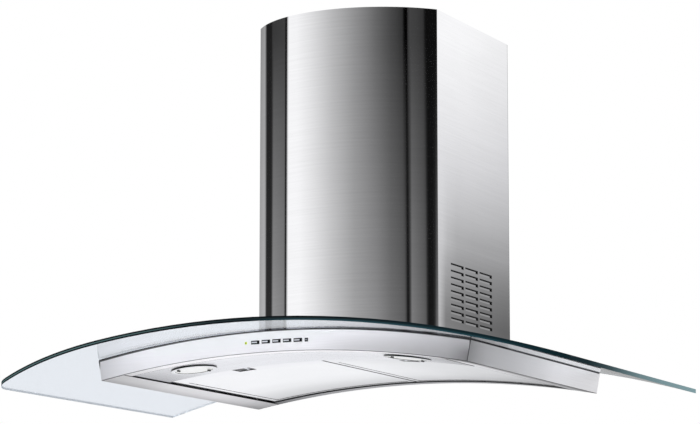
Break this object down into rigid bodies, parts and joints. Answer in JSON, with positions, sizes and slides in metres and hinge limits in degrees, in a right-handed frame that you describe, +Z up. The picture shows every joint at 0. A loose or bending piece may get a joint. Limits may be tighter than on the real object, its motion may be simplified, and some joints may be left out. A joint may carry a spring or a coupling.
{
  "type": "curved glass range hood",
  "caption": "Wall-mounted chimney range hood with an arched glass canopy over a slim arched steel body, drop-down grease filters, lamps, push buttons and a telescopic chimney.",
  "frame": {"origin": "centre of the four wall fixing holes, on the wall plane at the back of the hanger plate", "axes": "+X to the right of a person facing the hood, +Y into the wall, +Z up"},
  "size_m": [0.9, 0.595, 0.5643],
  "materials": {
    "glass_clear": "polished clear tempered glass with a green edge",
    "steel_brushed": "fine horizontal brushing",
    "steel_chimney": "fine vertical brushing, semi gloss",
    "steel_galvanised": "matt galvanised",
    "steel_screws": "zinc plated",
    "aluminium_frame": "satin",
    "aluminium_mesh": "layered expanded foil",
    "spring_steel": "plain",
    "chrome_trim": "bright",
    "lamp_glass": "frosted",
    "lamp_emitter": "phosphor dome",
    "rubber_black": "matt",
    "plastic_black": "fine texture",
    "plastic_grey": "fine texture",
    "button_plastic": "satin",
    "indicator_plastic": "clear green",
    "board": "solder mask",
    "motor_paint": "satin black",
    "fan_plastic": "moulded"
  },
  "bodies": {
    "hood": {"glass_canopy": "glass_clear", "body_gasket": "rubber_black", "clamp_gasket": "rubber_black", "glass_bushes": "rubber_black", "glass_bolts": "steel_screws", "glass_bolt_nuts": "steel_screws", "body_top_plate": "steel_galvanised", "body_front_panel": "steel_brushed", "body_side_left": "steel_brushed", "body_side_right": "steel_brushed", "body_back_panel": "steel_brushed", "lamp_panel": "steel_brushed", "lamp_bezel_left": "chrome_trim", "lamp_bezel_right": "chrome_trim", "lamp_lens_left": "lamp_glass", "lamp_lens_right": "lamp_glass", "lamp_housing_left": "steel_galvanised", "lamp_housing_right": "steel_galvanised", "lamp_led_left": "lamp_emitter", "lamp_led_right": "lamp_emitter", "control_housing": "plastic_black", "control_board": "board", "tact_switches": "plastic_black", "indicator_lens": "indicator_plastic", "blower_box": "steel_galvanised", "hanger_plate": "steel_galvanised", "blower_screws": "steel_screws", "scroll_housing": "steel_galvanised", "inlet_rings": "steel_galvanised", "motor": "motor_paint", "motor_bracket": "steel_galvanised", "outlet_collar": "plastic_grey", "damper_pin": "steel_screws", "capacitor": "plastic_grey", "terminal_box": "plastic_grey", "terminal_lid": "plastic_grey", "cable_gland": "plastic_black", "chimney_lower": "steel_chimney"},
    "upper_chimney": {"chimney_upper": "steel_chimney", "chimney_bracket_left": "steel_galvanised", "chimney_bracket_right": "steel_galvanised", "chimney_screws": "steel_screws"},
    "fan": {"fan_wheel": "fan_plastic", "motor_shaft": "steel_screws"},
    "damper_front": {"damper_flap_front": "plastic_grey"},
    "damper_rear": {"damper_flap_rear": "plastic_grey"},
    "filter_left": {"filter_frame_left": "aluminium_frame", "filter_mesh_left": "aluminium_mesh", "latch_spring_left": "spring_steel"},
    "filter_right": {"filter_frame_right": "aluminium_frame", "filter_mesh_right": "aluminium_mesh", "latch_spring_right": "spring_steel"},
    "latch_left": {"filter_latch_left": "plastic_black"},
    "latch_right": {"filter_latch_right": "plastic_black"},
    "button_1_key": {"button_1": "button_plastic"},
    "button_2_key": {"button_2": "button_plastic"},
    "button_3_key": {"button_3": "button_plastic"},
    "button_4_key": {"button_4": "button_plastic"},
    "button_5_key": {"button_5": "button_plastic"},
    "button_small_key": {"button_small": "button_plastic"}
  },
  "joints": [
    {"name": "chimney_slide", "type": "slide", "parent": "hood", "child": "upper_chimney", "axis": [0, 0, 1], "range_m": [0, 0.38]},
    {"name": "fan_spin", "type": "hinge", "parent": "hood", "child": "fan", "pos_m": [0, -0.168, 0], "axis": [1, 0, 0], "continuous": true},
    {"name": "damper_front_swing", "type": "hinge", "parent": "hood", "child": "damper_front", "pos_m": [0, -0.1, 0.156], "axis": [-1, 0, 0], "range_deg": [0, 78]},
    {"name": "damper_rear_swing", "type": "hinge", "parent": "hood", "child": "damper_rear", "pos_m": [0, -0.1, 0.156], "axis": [1, 0, 0], "range_deg": [0, 78]},
    {"name": "filter_left_drop", "type": "hinge", "parent": "hood", "child": "filter_left", "pos_m": [-0.2485, -0.0295, -0.17773], "axis": [1, 0, 0], "range_deg": [0, 75], "deforming": ["latch_spring_left"]},
    {"name": "latch_left_slide", "type": "slide", "parent": "filter_left", "child": "latch_left", "axis": [0, 1, 0], "range_m": [0, 0.005], "stiffness_N_per_m": 400},
    {"name": "filter_right_drop", "type": "hinge", "parent": "hood", "child": "filter_right", "pos_m": [0.2485, -0.0295, -0.17773], "axis": [1, 0, 0], "range_deg": [0, 75], "deforming": ["latch_spring_right"]},
    {"name": "latch_right_slide", "type": "slide", "parent": "filter_right", "child": "latch_right", "axis": [0, 1, 0], "range_m": [0, 0.005], "stiffness_N_per_m": 400},
    {"name": "button_1_press", "type": "slide", "parent": "hood", "child": "button_1_key", "axis": [0, 1, 0], "range_m": [0, 0.0008], "stiffness_N_per_m": 800},
    {"name": "button_2_press", "type": "slide", "parent": "hood", "child": "button_2_key", "axis": [0, 1, 0], "range_m": [0, 0.0008], "stiffness_N_per_m": 800},
    {"name": "button_3_press", "type": "slide", "parent": "hood", "child": "button_3_key", "axis": [0, 1, 0], "range_m": [0, 0.0008], "stiffness_N_per_m": 800},
    {"name": "button_4_press", "type": "slide", "parent": "hood", "child": "button_4_key", "axis": [0, 1, 0], "range_m": [0, 0.0008], "stiffness_N_per_m": 800},
    {"name": "button_5_press", "type": "slide", "parent": "hood", "child": "button_5_key", "axis": [0, 1, 0], "range_m": [0, 0.0008], "stiffness_N_per_m": 800},
    {"name": "button_small_press", "type": "slide", "parent": "hood", "child": "button_small_key", "axis": [0, 1, 0], "range_m": [0, 0.0008], "stiffness_N_per_m": 800}
  ]
}
